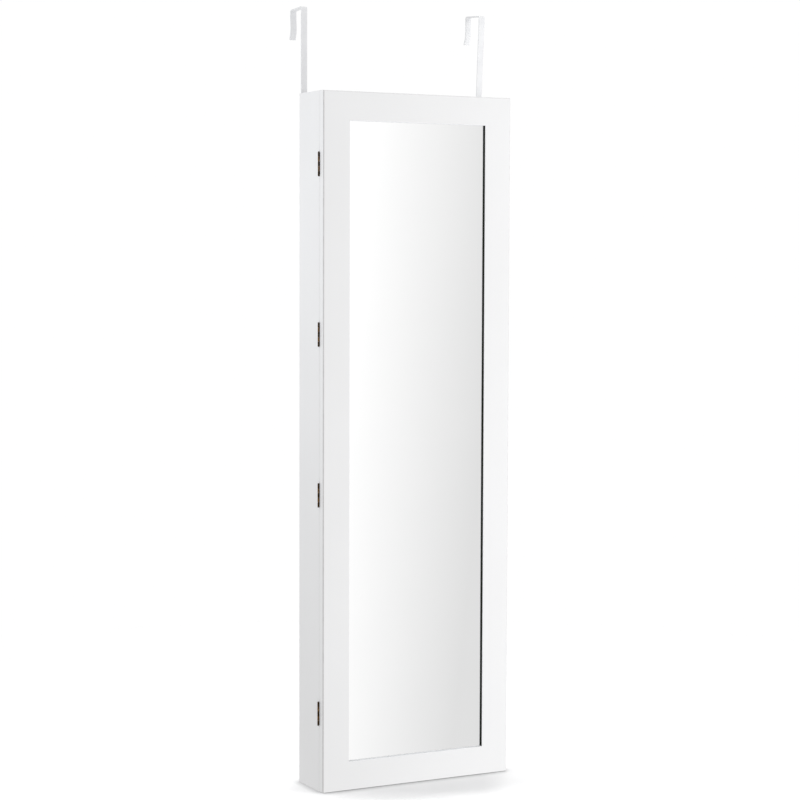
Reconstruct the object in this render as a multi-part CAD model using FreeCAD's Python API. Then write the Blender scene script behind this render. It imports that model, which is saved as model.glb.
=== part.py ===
import FreeCAD, Part
import math
import os

# Jewelry mirror cabinet: a shallow case with one mirror door on four butt
# hinges at its left side, and two hooks that hang it over a room door.
# Millimetres. The origin is the middle of the footprint, on the floor.
# X runs to the right seen from the front, Y from the front to the back, Z up.

Vector = FreeCAD.Vector

# How far a cutting shape reaches past the face that it opens.
overcut = 1.0
# Two places closer than this are the same.
same_place = 1e-6

# ---- the whole cabinet ----
width = 364.0
depth = 97.0
height = 1200.0

# ---- case ----
side_thickness = 15.0
end_thickness = 15.0
back_thickness = 3.0
back_lap = 2.5
panel_edge_radius = 0.8
joint_clearance = 0.2
dowel_radius = 3.0
dowel_length = 24.0
dowel_depth_in_side = 9.0
dowel_inset = 20.0
dowel_clearance = 0.1

# ---- lining of the inside ----
lining_thickness = 1.5
lining_clearance = 0.1
lining_setback = 2.0

# ---- door ----
door_thickness = 14.5
door_gap = 1.0
door_end_inset = 0.5
border_width = 50.0
mirror_recess = 5.5
mirror_thickness = 3.0
mirror_lap = 7.0
mirror_clearance = 0.5
door_edge_radius = 1.2
opening_edge_radius = 0.4
strip_thickness = 1.0
strip_lip = 1.7

# ---- hinges ----
hinge_low_inset = 135.8
hinge_high_inset = 123.9
hinge_shares = (0.0, 0.401, 0.693, 1.0)
hinge_length = 40.0
barrel_radius = 1.5
barrel_clearance = 0.3
pin_radius = 0.8
pin_clearance = 0.05
pin_head_radius = 1.2
pin_head_height = 0.8
knuckle_count = 5
knuckle_gap = 0.3
knuckle_round = 0.3
leaf_thickness = 0.7
leaf_width = 12.0
leaf_gap = 0.3
mortise_clearance = 0.1
leaf_screw_pitch = 14.0
leaf_screw_length = 9.0
leaf_screw_radius = 1.0
leaf_screw_head_radius = 1.8
leaf_screw_head_depth = 0.6

# ---- small pan head screws of the fittings ----
screw_radius = 1.5
screw_head_radius = 2.8
screw_head_height = 1.6
screw_length = 8.0
screw_clearance = 0.05
screw_recess_width = 0.7
screw_recess_depth = 0.8
screw_recess_share = 0.62
head_round = 0.7

# ---- hanging rail and wall screws ----
hanging_rail_height = 40.0
hanging_rail_thickness = 12.0
wall_screw_pitch = 200.0
wall_screw_hole_radius = 2.75

# ---- hooks that go over a room door ----
hook_inset = 9.2
hook_width = 11.0
hook_thickness = 2.0
hook_rise = 149.6
hook_leg_length = 90.0
hook_gap = 43.0
hook_drop = 51.0
hook_pinch = 2.0
hook_flare = 5.0
hook_flare_length = 14.0
hook_bend_radius = 3.5
hook_flare_radius = 20.0
hook_hole_count = 4
hook_hole_pitch = 22.0
hook_hole_inset = 12.0
hook_screw_step_count = 2
hook_screw_length = 12.0
hook_right_lean = 2.1
hook_lean_drop = 10.0
hook_right_lift = 3.0
hook_left_climb = -2.5
hook_right_climb = 3.0
hook_right_skew = 3.0

# ---- shelves and their rails ----
shelf_count = 3
shelf_pitch = 135.0
shelf_thickness = 9.0
shelf_setback = 5.0
shelf_clearance = 0.3
shelf_edge_radius = 0.6
shelf_pin_radius = 2.5
shelf_pin_depth = 8.0
shelf_pin_reach = 7.0
shelf_pin_inset = 14.0
shelf_pin_clearance = 0.1
guard_radius = 2.0
guard_lift = 28.0
guard_setback = 8.0
guard_depth = 6.0
guard_clearance = 0.1

# ---- bracelet rod ----
bracelet_radius = 6.0
bracelet_lift = 105.0
bracelet_setback = 38.0
cup_flange_radius = 13.0
cup_flange_thickness = 2.5
cup_collar_radius = 8.5
cup_collar_length = 8.0
cup_clearance = 0.1
cup_screw_pitch = 21.0
cup_edge_radius = 0.6

# ---- ring tray and its rolls ----
roll_count = 6
roll_radius = 10.4
roll_pitch = 22.0
roll_end_radius = 4.0
roll_clearance = 0.3
tray_side_gap = 10.5
tray_depth = 19.0
tray_wall = 5.0
tray_back = 3.0
tray_gap = 20.0

# ---- necklace hooks ----
necklace_hook_count = 12
necklace_rail_height = 22.0
necklace_rail_thickness = 8.0
necklace_rail_side_gap = 16.0
necklace_rail_overhang = 12.0
necklace_rail_gap = 45.0
necklace_wire_radius = 1.2
necklace_hook_reach = 20.0
necklace_hook_lift = 7.0
necklace_bend_radius = 4.0
necklace_tip_radius = 2.0
necklace_root_depth = 5.0

# ---- magnet catches ----
catch_drop = 300.0
catch_length = 40.0
catch_body_length = 28.0
catch_body_width = 10.0
catch_body_depth = 14.0
catch_flange_thickness = 2.0
catch_flange_depth = 26.0
catch_setback = 2.0
catch_screw_pitch = 24.0
catch_screw_inset = 6.0
catch_edge_radius = 1.0
magnet_width = 6.0
magnet_length = 20.0
magnet_depth = 8.0
magnet_clearance = 0.15
magnet_door_gap = 0.6
strike_width = 12.0
strike_length = 30.0
strike_thickness = 1.0
strike_corner_radius = 2.0
bumper_radius = 4.0
bumper_thickness = 0.6
bumper_inset = 25.0

# ---- earring bars on the door ----
bar_count = 5
bar_pitch = 60.0
bar_top_drop = 75.0
bar_side_gap = 13.0
bar_flange_height = 10.0
bar_ledge_depth = 14.0
bar_thickness = 1.2
bar_slot_count = 12
bar_end_margin = 15.5
bar_slot_width = 1.6
bar_slot_depth = 7.0
bar_screw_inset = 20.0
bar_screw_lift = 5.5
bar_hole_radius = 1.3

# ---- clips that hold the mirror's backing in the door ----
clip_length = 16.0
clip_width = 10.0
clip_thickness = 1.0
clip_inset = 75.0
clip_levels_count = 4

# ---- worked out from the sizes above ----
half_width = width / 2
front_face = -depth / 2
back_face = depth / 2
door_back = front_face + door_thickness
case_front = door_back + door_gap
hook_centre = half_width - hook_inset
seam = (door_back + case_front) / 2
inner_half = half_width - side_thickness
lined_half = inner_half - lining_thickness
floor_level = end_thickness
ceiling_level = height - end_thickness
back_inner = back_face - back_thickness
lined_back = back_inner - lining_thickness
rail_bottom = ceiling_level - hanging_rail_height
rail_front = back_inner - hanging_rail_thickness

opening_half = half_width - border_width
opening_low = border_width
opening_high = height - border_width
rebate_half = opening_half + mirror_lap
rebate_low = opening_low - mirror_lap
rebate_high = opening_high + mirror_lap
pane_half = rebate_half - mirror_clearance
pane_low = rebate_low + mirror_clearance
pane_high = rebate_high - mirror_clearance
mirror_front = front_face + mirror_recess
mirror_back = mirror_front + mirror_thickness
door_lining_front = door_back - lining_thickness
bar_half = opening_half - bar_side_gap

# The door's small screws stop inside the backing board, short of the mirror.
door_screw_spare = 1.0
door_screw_length = bar_thickness + door_back - mirror_back - door_screw_spare

# The two middle hinges share out the run between the end ones unevenly.
hinge_run = height - hinge_high_inset - hinge_low_inset
hinge_centres = [hinge_low_inset + share * hinge_run for share in hinge_shares]
pin_x = -half_width - barrel_clearance - barrel_radius
leaf_start = -half_width + barrel_clearance
leaf_end = leaf_start + leaf_width
leaf_middle = (leaf_start + leaf_end) / 2

shelf_tops = [floor_level + shelf_pitch * (i + 1) for i in range(shelf_count)]
shelf_front = case_front + shelf_setback
shelf_back = lined_back - shelf_clearance
guard_y = case_front + guard_setback
guard_levels = [level + guard_lift for level in [floor_level] + shelf_tops]
# The lower catch sits midway between the first shelf's rail and the second shelf.
lower_catch = shelf_tops[0] + (guard_lift + shelf_pitch - shelf_thickness) / 2
catch_levels = (lower_catch, height - catch_drop)
catch_middle = lined_half - catch_flange_thickness - catch_body_width / 2
bracelet_y = case_front + bracelet_setback
bracelet_z = shelf_tops[-1] + bracelet_lift

tray_half = lined_half - tray_side_gap
tray_high = rail_bottom - tray_gap
tray_height = roll_count * roll_pitch + 2 * tray_wall
tray_low = tray_high - tray_height
tray_front = lined_back - tray_depth
roll_y = lined_back - tray_back - roll_clearance - roll_radius
necklace_rail_half = lined_half - necklace_rail_side_gap
necklace_rail_high = tray_low - necklace_rail_gap
necklace_rail_low = necklace_rail_high - necklace_rail_height
necklace_rail_front = lined_back - necklace_rail_thickness
necklace_hook_z = (necklace_rail_high + necklace_rail_low) / 2


def span_on(side, near, far):
    # A low and high X on the right (side 1) or the left (side -1).
    return (near, far) if side > 0 else (-far, -near)


def box(x_span, y_span, z_span):
    corner = Vector(x_span[0], y_span[0], z_span[0])
    sizes = [high - low for low, high in (x_span, y_span, z_span)]
    return Part.makeBox(sizes[0], sizes[1], sizes[2], corner)


def rod(radius, start, end):
    run = end - start
    return Part.makeCylinder(radius, run.Length, start, run)


def joined(shapes):
    return shapes[0].fuse(shapes[1:]).removeSplitter()


def edge_runs(edge, axis):
    # True for a straight edge along the given axis: 0 is X, 1 is Y and 2 is Z.
    ends = [vertex.Point for vertex in edge.Vertexes]
    if len(ends) != 2:
        return False
    run = ends[1] - ends[0]
    return abs(abs(run[axis]) - run.Length) < same_place


def edge_at(edge, axis, value):
    return all(abs(vertex.Point[axis] - value) < same_place for vertex in edge.Vertexes)


def place(shape, at, outward):
    # Moves a shape made about the origin, with +Z outward, to its place.
    placed = shape.copy()
    placed.Placement = FreeCAD.Placement(at, FreeCAD.Rotation(Vector(0, 0, 1), outward))
    return placed


# ---- fasteners ----

def cross_recess(radius, top, recess_depth):
    reach = radius * screw_recess_share
    arm = (-reach, reach)
    slot = (-screw_recess_width / 2, screw_recess_width / 2)
    deep = (top - recess_depth, top + overcut)
    return joined([box(arm, slot, deep), box(slot, arm, deep)])


def pan_screw(length=screw_length):
    shank = rod(screw_radius, Vector(0, 0, -length), Vector(0, 0, 0))
    head = rod(screw_head_radius, Vector(0, 0, 0), Vector(0, 0, screw_head_height))
    rim = [edge for edge in head.Edges if edge_at(edge, 2, screw_head_height)]
    head = head.makeFillet(head_round, rim)
    recess = cross_recess(screw_head_radius, screw_head_height, screw_recess_depth)
    return joined([head, shank]).cut(recess)


def pan_screw_hole(length=screw_length):
    bore = screw_radius + screw_clearance
    return rod(bore, Vector(0, 0, -length - screw_clearance), Vector(0, 0, screw_clearance))


def leaf_screw(grow=0.0):
    # A flat head screw, its face at Z 0; grow gives the hole it goes in.
    shank = rod(leaf_screw_radius + grow, Vector(0, 0, -leaf_screw_length - grow), Vector(0, 0, 0))
    head = Part.makeCone(leaf_screw_radius + grow, leaf_screw_head_radius + grow,
                         leaf_screw_head_depth, Vector(0, 0, -leaf_screw_head_depth))
    screw = joined([shank, head])
    if grow:
        return screw
    return screw.cut(cross_recess(leaf_screw_head_radius, 0, leaf_screw_head_depth / 2))


# ---- hinges ----

def knuckle_spans(centre, parity):
    pitch = (hinge_length + knuckle_gap) / knuckle_count
    low = centre - hinge_length / 2
    starts = [low + i * pitch for i in range(knuckle_count) if i % 2 == parity]
    return [(start, start + pitch - knuckle_gap) for start in starts]


def leaf_screw_points(centre, side):
    near = seam + side * leaf_gap / 2
    return [Vector(leaf_middle, near, centre + i * leaf_screw_pitch) for i in (-1, 0, 1)]


def hinge_leaf(centre, side, parity):
    # side 1 is the case's leaf, behind the seam; side -1 is the door's.
    near = seam + side * leaf_gap / 2
    far = near + side * leaf_thickness
    y_span = (min(near, far), max(near, far))
    z_span = (centre - hinge_length / 2, centre + hinge_length / 2)
    pieces = [box((leaf_start, leaf_end), y_span, z_span)]
    for low, high in knuckle_spans(centre, parity):
        knuckle = rod(barrel_radius, Vector(pin_x, seam, low), Vector(pin_x, seam, high))
        pieces.append(knuckle.makeFillet(knuckle_round, [knuckle.Edges[0], knuckle.Edges[2]]))
        tab = (low + knuckle_round, high - knuckle_round)
        pieces.append(box((pin_x, leaf_middle), y_span, tab))
    leaf = joined(pieces)
    bore = rod(pin_radius + pin_clearance, Vector(pin_x, seam, z_span[0] - overcut),
               Vector(pin_x, seam, z_span[1] + overcut))
    holes = [place(leaf_screw(screw_clearance), at, Vector(0, -side, 0))
             for at in leaf_screw_points(centre, side)]
    return leaf.cut([bore] + holes)


def hinge_pin(centre):
    low = centre - hinge_length / 2
    high = centre + hinge_length / 2
    shaft = rod(pin_radius, Vector(pin_x, seam, low), Vector(pin_x, seam, high))
    heads = []
    for start, way in ((low, -1), (high, 1)):
        neck = start + way * pin_clearance
        crown = neck + way * pin_head_height
        heads.append(rod(pin_head_radius, Vector(pin_x, seam, neck), Vector(pin_x, seam, crown)))
        heads.append(rod(pin_radius, Vector(pin_x, seam, start), Vector(pin_x, seam, neck)))
    return joined([shaft] + heads)


def hinge_screws(side):
    return [place(leaf_screw(), at, Vector(0, -side, 0))
            for centre in hinge_centres for at in leaf_screw_points(centre, side)]


def hinge_cuts(side):
    # The mortises and screw holes that the hinges need, in the case or the door.
    cuts = []
    face = case_front if side > 0 else door_back
    sunk = seam + side * (leaf_gap / 2 + leaf_thickness)
    open_y = face - side * overcut
    y_span = (min(open_y, sunk), max(open_y, sunk))
    x_span = (-half_width - overcut, leaf_end + mortise_clearance)
    reach = hinge_length / 2 + mortise_clearance
    for centre in hinge_centres:
        cuts.append(box(x_span, y_span, (centre - reach, centre + reach)))
        cuts += [place(leaf_screw(screw_clearance), at, Vector(0, -side, 0))
                 for at in leaf_screw_points(centre, side)]
    return cuts


# ---- case ----

def dowel_points():
    levels = (end_thickness / 2, height - end_thickness / 2)
    return [(y, z) for y in (case_front + dowel_inset, back_face - dowel_inset) for z in levels]


def dowel(side, y, z, grow=0.0):
    ends = span_on(side, inner_half + dowel_depth_in_side - dowel_length - grow,
                   inner_half + dowel_depth_in_side + grow)
    return rod(dowel_radius + grow, Vector(ends[0], y, z), Vector(ends[1], y, z))


def dowel_holes():
    return [dowel(side, y, z, dowel_clearance) for side in (-1, 1) for y, z in dowel_points()]


def corner_dowels():
    return [dowel(side, y, z) for side in (-1, 1) for y, z in dowel_points()]


def back_rebate():
    reach = inner_half + back_lap
    return box((-reach, reach), (back_inner, back_face + overcut),
               (floor_level - back_lap, ceiling_level + back_lap))


def shelf_pin_places():
    ys = (shelf_front + shelf_pin_inset, shelf_back - shelf_pin_inset)
    return [(y, top - shelf_thickness - shelf_pin_radius) for top in shelf_tops for y in ys]


def shelf_pin(side, y, z, grow=0.0):
    ends = span_on(side, lined_half - shelf_pin_reach, inner_half + shelf_pin_depth + grow)
    return rod(shelf_pin_radius + grow, Vector(ends[0], y, z), Vector(ends[1], y, z))


def shelf_pins():
    return [shelf_pin(side, y, z) for side in (-1, 1) for y, z in shelf_pin_places()]


def guard_rail(z, grow=0.0):
    reach = inner_half + guard_depth + grow
    return rod(guard_radius + grow, Vector(-reach, guard_y, z), Vector(reach, guard_y, z))


def side_panel(side):
    panel = box(span_on(side, inner_half, half_width), (case_front, back_face), (0, height))
    outer = [edge for edge in panel.Edges
             if edge_runs(edge, 2) and edge_at(edge, 0, side * half_width)]
    panel = panel.makeFillet(panel_edge_radius, outer)
    cuts = [back_rebate()] + dowel_holes()
    cuts += [shelf_pin(side, y, z, shelf_pin_clearance) for y, z in shelf_pin_places()]
    cuts += [guard_rail(z, guard_clearance) for z in guard_levels]
    cuts += hook_screw_shapes(side, pan_screw_hole(hook_screw_length))
    cuts += [place(pan_screw_hole(), at, out) for at, out in cup_screw_places(side)]
    if side < 0:
        cuts += hinge_cuts(1)
    else:
        cuts += [place(pan_screw_hole(), at, out) for at, out in catch_screw_places()]
    return panel.cut(cuts)


def end_panel(low):
    panel = box((-inner_half, inner_half), (case_front, back_face), (low, low + end_thickness))
    return panel.cut([back_rebate()] + dowel_holes())


def wall_screw_holes():
    level = (rail_bottom + ceiling_level) / 2
    ends = (rail_front - overcut, back_face + overcut)
    return [rod(wall_screw_hole_radius, Vector(x, ends[0], level), Vector(x, ends[1], level))
            for x in (-wall_screw_pitch / 2, wall_screw_pitch / 2)]


def back_panel():
    reach = inner_half + back_lap - joint_clearance
    z_span = (floor_level - back_lap + joint_clearance, ceiling_level + back_lap - joint_clearance)
    return box((-reach, reach), (back_inner, back_face), z_span).cut(wall_screw_holes())


def hanging_rail():
    reach = lined_half - lining_clearance
    rail = box((-reach, reach), (rail_front, back_inner), (rail_bottom, ceiling_level))
    return rail.cut(wall_screw_holes())


def back_lining():
    reach = lined_half - lining_clearance
    return box((-reach, reach), (lined_back, back_inner), (floor_level, rail_bottom))


def side_lining(side):
    lining = box(span_on(side, lined_half, inner_half), (case_front + lining_setback, back_inner),
                 (floor_level, ceiling_level))
    cuts = [shelf_pin(side, y, z, shelf_pin_clearance) for y, z in shelf_pin_places()]
    cuts += [guard_rail(z, guard_clearance) for z in guard_levels]
    cuts += [place(pan_screw_hole(), at, out) for at, out in cup_screw_places(side)]
    if side > 0:
        cuts += [place(pan_screw_hole(), at, out) for at, out in catch_screw_places()]
    return lining.cut(cuts)


def shelf(top):
    reach = lined_half - shelf_clearance
    board = box((-reach, reach), (shelf_front, shelf_back), (top - shelf_thickness, top))
    front = [edge for edge in board.Edges if edge_runs(edge, 0) and edge_at(edge, 1, shelf_front)]
    return board.makeFillet(shelf_edge_radius, front)


# ---- bracelet rod ----

def cup_screw_places(side):
    seat = side * (lined_half - cup_flange_thickness)
    return [(Vector(seat, bracelet_y, bracelet_z + step), Vector(-side, 0, 0))
            for step in (-cup_screw_pitch / 2, cup_screw_pitch / 2)]


def rod_cup(side):
    face = lined_half - cup_flange_thickness
    back = Vector(side * lined_half, bracelet_y, bracelet_z)
    step = Vector(side * face, bracelet_y, bracelet_z)
    mouth = Vector(side * (face - cup_collar_length), bracelet_y, bracelet_z)
    flange = rod(cup_flange_radius, back, step)
    rim = [edge for edge in flange.Edges if edge_at(edge, 0, step.x)]
    flange = flange.makeFillet(cup_edge_radius, rim)
    collar = rod(cup_collar_radius, step, mouth)
    lip = [edge for edge in collar.Edges if edge_at(edge, 0, mouth.x)]
    collar = collar.makeFillet(cup_edge_radius, lip)
    bore = rod(bracelet_radius + cup_clearance, step, mouth)
    screws = [place(pan_screw_hole(), at, out) for at, out in cup_screw_places(side)]
    room = rod(screw_head_radius + screw_clearance, Vector(0, 0, 0),
               Vector(0, 0, screw_head_height + overcut))
    heads = [place(room, at, out) for at, out in cup_screw_places(side)]
    return joined([flange, collar]).cut([bore] + screws + heads)


def bracelet_rod():
    reach = lined_half - cup_flange_thickness
    return rod(bracelet_radius, Vector(-reach, bracelet_y, bracelet_z),
               Vector(reach, bracelet_y, bracelet_z))


# ---- ring tray ----

def ring_tray():
    tray = box((-tray_half, tray_half), (tray_front, lined_back), (tray_low, tray_high))
    inner = tray_half - tray_wall
    pocket = box((-inner, inner), (tray_front - overcut, lined_back - tray_back),
                 (tray_low + tray_wall, tray_high - tray_wall))
    return tray.cut(pocket)


def ring_roll(index):
    reach = tray_half - tray_wall - roll_clearance
    z = tray_low + tray_wall + roll_pitch * (index + 0.5)
    roll = rod(roll_radius, Vector(-reach, roll_y, z), Vector(reach, roll_y, z))
    return roll.makeFillet(roll_end_radius, [edge for edge in roll.Edges if not edge_runs(edge, 0)])


# ---- necklace hooks ----

def spread(count, reach):
    # Places from -reach to reach, evenly spaced.
    pitch = 2 * reach / (count - 1)
    return [i * pitch - reach for i in range(count)]


def necklace_hook_xs():
    return spread(necklace_hook_count, necklace_rail_half - necklace_rail_overhang)


def necklace_rail():
    rail = box((-necklace_rail_half, necklace_rail_half), (necklace_rail_front, lined_back),
               (necklace_rail_low, necklace_rail_high))
    bore = necklace_wire_radius + screw_clearance
    deep_end = necklace_rail_front + necklace_root_depth
    holes = [rod(bore, Vector(x, necklace_rail_front - overcut, necklace_hook_z),
                 Vector(x, deep_end, necklace_hook_z)) for x in necklace_hook_xs()]
    return rail.cut(holes)


def necklace_hook(x):
    root = Vector(x, necklace_rail_front + necklace_root_depth, necklace_hook_z)
    bend_y = necklace_rail_front - necklace_hook_reach + necklace_bend_radius
    bend = Vector(x, bend_y, necklace_hook_z)
    rise_y = bend_y - necklace_bend_radius
    foot = Vector(x, rise_y, necklace_hook_z + necklace_bend_radius)
    tip = Vector(x, rise_y, necklace_hook_z + necklace_bend_radius + necklace_hook_lift)
    slant = necklace_bend_radius * math.sin(math.pi / 4)
    middle = Vector(x, bend_y - slant, foot.z - slant)
    turn = Part.Arc(bend, middle, foot).toShape()
    path = Part.Wire([Part.makeLine(root, bend), turn, Part.makeLine(foot, tip)])
    section = Part.Wire(Part.makeCircle(necklace_wire_radius, root, Vector(0, 1, 0)))
    wire = path.makePipeShell([section], True, False)
    return joined([wire, Part.makeSphere(necklace_tip_radius, tip)])


# ---- hooks over the door ----

def hook_path(climb, skew):
    # The middle line of the strip, from its foot up and over. The bridge climbs
    # to the back by climb, and runs to the left by skew.
    near = back_face + hook_thickness / 2
    far = back_face + hook_thickness + hook_gap + hook_thickness / 2
    top = height + hook_rise - hook_thickness / 2
    far_top = top + climb
    tip = height + hook_rise - hook_drop + climb
    return [Vector(0, near, height - hook_leg_length), Vector(0, near, top), Vector(-skew, far, far_top),
            Vector(-skew, far - hook_pinch, tip + hook_flare_length),
            Vector(-skew, far - hook_pinch + hook_flare, tip)]


def bent_strip(corners, radii, thickness, strip_width):
    # A flat strip that follows straight runs joined by tangent arcs.
    edges = []
    start = corners[0]
    for before, corner, after, radius in zip(corners, corners[1:], corners[2:], radii):
        back = (before - corner).normalize()
        ahead = (after - corner).normalize()
        half_turn = (math.pi - back.getAngle(ahead)) / 2
        trim = radius * math.tan(half_turn)
        enter = corner + back * trim
        leave = corner + ahead * trim
        bulge = (back + ahead).normalize() * (radius / math.cos(half_turn) - radius)
        edges.append(Part.makeLine(start, enter))
        edges.append(Part.Arc(enter, corner + bulge, leave).toShape())
        start = leave
    edges.append(Part.makeLine(start, corners[-1]))
    foot = corners[0]
    half = strip_width / 2
    section = Part.makePolygon([foot + Vector(x, y, 0) for x, y in
                                ((-half, -thickness / 2), (half, -thickness / 2), (half, thickness / 2),
                                 (-half, thickness / 2), (-half, -thickness / 2))])
    return Part.Wire(edges).makePipeShell([section], True, False)


def hook_hole_levels():
    foot = height - hook_leg_length + hook_hole_inset
    return [foot + i * hook_hole_pitch for i in range(hook_hole_count)]


def lean(shape, side):
    # The right hook leans a little outward about its upper fixing, and sits a little higher.
    leaned = shape.copy()
    if side > 0:
        pivot = Vector(hook_centre, 0, height - hook_lean_drop)
        leaned.rotate(pivot, Vector(0, 1, 0), hook_right_lean)
        leaned.translate(Vector(0, 0, hook_right_lift))
    return leaned


def hook_screw_shapes(side, shape):
    seat_y = back_face + hook_thickness
    # The top hole has a screw, and then each hole that many further down.
    levels = hook_hole_levels()[::-1][::hook_screw_step_count]
    return [lean(place(shape, Vector(side * hook_centre, seat_y, z), Vector(0, 1, 0)), side)
            for z in levels]


def door_hook(side):
    radii = (hook_bend_radius, hook_bend_radius, hook_flare_radius)
    # The two hooks are bent a little differently.
    path = hook_path(hook_right_climb, hook_right_skew) if side > 0 else hook_path(hook_left_climb, 0.0)
    strip = bent_strip(path, radii, hook_thickness, hook_width)
    holes = [rod(screw_radius + screw_clearance, Vector(0, back_face - overcut, z),
                 Vector(0, back_face + hook_thickness + overcut, z)) for z in hook_hole_levels()]
    strip = strip.cut(holes)
    strip.translate(Vector(side * hook_centre, 0, 0))
    return lean(strip, side)


def door_hook_screws():
    return [screw for side in (-1, 1) for screw in hook_screw_shapes(side, pan_screw(hook_screw_length))]


# ---- magnet catches ----

def catch_screw_places():
    seat = lined_half - catch_flange_thickness
    y = case_front + catch_setback + catch_flange_depth - catch_screw_inset
    return [(Vector(seat, y, level + step), Vector(-1, 0, 0))
            for level in catch_levels for step in (-catch_screw_pitch / 2, catch_screw_pitch / 2)]


def magnet_spans(level, grow=0.0):
    front = door_back + magnet_door_gap
    return ((catch_middle - magnet_width / 2 - grow, catch_middle + magnet_width / 2 + grow),
            (front, front + magnet_depth + grow),
            (level - magnet_length / 2 - grow, level + magnet_length / 2 + grow))


def catch_housing(level):
    face = case_front + catch_setback
    flange_face = lined_half - catch_flange_thickness
    half = catch_length / 2
    flange = box((flange_face, lined_half), (face, face + catch_flange_depth), (level - half, level + half))
    corners = [edge for edge in flange.Edges if edge_runs(edge, 0)]
    flange = flange.makeFillet(catch_flange_thickness, corners)
    half = catch_body_length / 2
    body = box((flange_face - catch_body_width, flange_face), (face, face + catch_body_depth),
               (level - half, level + half))
    rim = [edge for edge in body.Edges if edge_at(edge, 0, flange_face - catch_body_width)]
    body = body.makeFillet(catch_edge_radius, rim)
    cuts = [box(*magnet_spans(level, magnet_clearance))]
    cuts += [place(pan_screw_hole(), at, out) for at, out in catch_screw_places()]
    return joined([flange, body]).cut(cuts)


def catch_magnet(level):
    return box(*magnet_spans(level))


def strike_plate(level, grow=0.0):
    plate = box((catch_middle - strike_width / 2 - grow, catch_middle + strike_width / 2 + grow),
                (door_back - strike_thickness, door_back),
                (level - strike_length / 2 - grow, level + strike_length / 2 + grow))
    corners = [edge for edge in plate.Edges if edge_runs(edge, 1)]
    return plate.makeFillet(strike_corner_radius + grow, corners)


def bumper_dots():
    x = half_width - side_thickness / 2
    return [rod(bumper_radius, Vector(x, case_front - bumper_thickness, z), Vector(x, case_front, z))
            for z in (bumper_inset, height - bumper_inset)]


# ---- door ----

def glazing_strip(side):
    return box(span_on(side, opening_half, opening_half + strip_thickness),
               (front_face + strip_lip, mirror_front), (opening_low, opening_high))


def clip_places():
    low = rebate_low + clip_inset
    high = rebate_high - clip_inset
    step = (high - low) / (clip_levels_count - 1)
    return [(side, low + i * step) for side in (-1, 1) for i in range(clip_levels_count)]


def clip_screw_point(side, z):
    return Vector(side * (rebate_half + clip_length / 4), door_back + clip_thickness, z)


def clip_screw_places():
    return [(clip_screw_point(side, z), Vector(0, 1, 0)) for side, z in clip_places()]


def backing_clip(side, z):
    clip = box(span_on(side, rebate_half - clip_length / 2, rebate_half + clip_length / 2),
               (door_back, door_back + clip_thickness), (z - clip_width / 2, z + clip_width / 2))
    clip = clip.makeFillet(clip_width / 3, [edge for edge in clip.Edges if edge_runs(edge, 1)])
    return clip.cut(place(pan_screw_hole(door_screw_length), clip_screw_point(side, z), Vector(0, 1, 0)))


def door_frame():
    z_span = (door_end_inset, height - door_end_inset)
    frame = box((-half_width, half_width), (front_face, door_back), z_span)
    outer = [edge for edge in frame.Edges if edge_at(edge, 1, front_face)]
    frame = frame.makeFillet(door_edge_radius, outer)
    through = (front_face - overcut, door_back + overcut)
    opening = box((-opening_half, opening_half), through, (opening_low, opening_high))
    frame = frame.cut(opening)
    rim = [edge for edge in frame.Edges if edge_at(edge, 1, front_face)
           and abs(edge.CenterOfMass.x) <= opening_half + overcut
           and opening_low - overcut <= edge.CenterOfMass.z <= opening_high + overcut]
    frame = frame.makeFillet(opening_edge_radius, rim)
    rebate = box((-rebate_half, rebate_half), (mirror_front, through[1]), (rebate_low, rebate_high))
    cuts = [rebate] + [glazing_strip(side) for side in (-1, 1)] + hinge_cuts(-1)
    cuts += [strike_plate(level, joint_clearance) for level in catch_levels]
    cuts += [place(pan_screw_hole(door_screw_length), at, out) for at, out in clip_screw_places()]
    return frame.cut(cuts)


def pane(y_front, y_back):
    return box((-pane_half, pane_half), (y_front, y_back), (pane_low, pane_high))


def bar_levels():
    return [height - bar_top_drop - i * bar_pitch for i in range(bar_count)]


def bar_screw_places():
    out = Vector(0, 1, 0)
    return [(Vector(x, door_back + bar_thickness, z + bar_screw_lift), out)
            for z in bar_levels() for x in (bar_screw_inset - bar_half, bar_half - bar_screw_inset)]


def backing_board():
    board = pane(mirror_back, door_lining_front)
    return board.cut([place(pan_screw_hole(door_screw_length), at, out) for at, out in bar_screw_places()])


def door_lining():
    lining = pane(door_lining_front, door_back)
    return lining.cut([place(pan_screw_hole(door_screw_length), at, out) for at, out in bar_screw_places()])


def earring_bar(z):
    reach = (-bar_half, bar_half)
    flange = box(reach, (door_back, door_back + bar_thickness), (z, z + bar_flange_height))
    ledge_tip = door_back + bar_ledge_depth
    ledge = box(reach, (door_back, ledge_tip), (z, z + bar_thickness))
    end = ledge_tip - bar_slot_depth
    low = z - overcut
    high = z + bar_thickness + overcut
    cuts = []
    for x in spread(bar_slot_count, bar_half - bar_end_margin):
        slot = (x - bar_slot_width / 2, x + bar_slot_width / 2)
        cuts.append(box(slot, (end, ledge_tip + overcut), (low, high)))
        cuts.append(rod(bar_hole_radius, Vector(x, end, low), Vector(x, end, high)))
    cuts += [place(pan_screw_hole(door_screw_length), at, out) for at, out in bar_screw_places()]
    return joined([flange, ledge]).cut(cuts)


# ---- every piece under its own name ----

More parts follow.
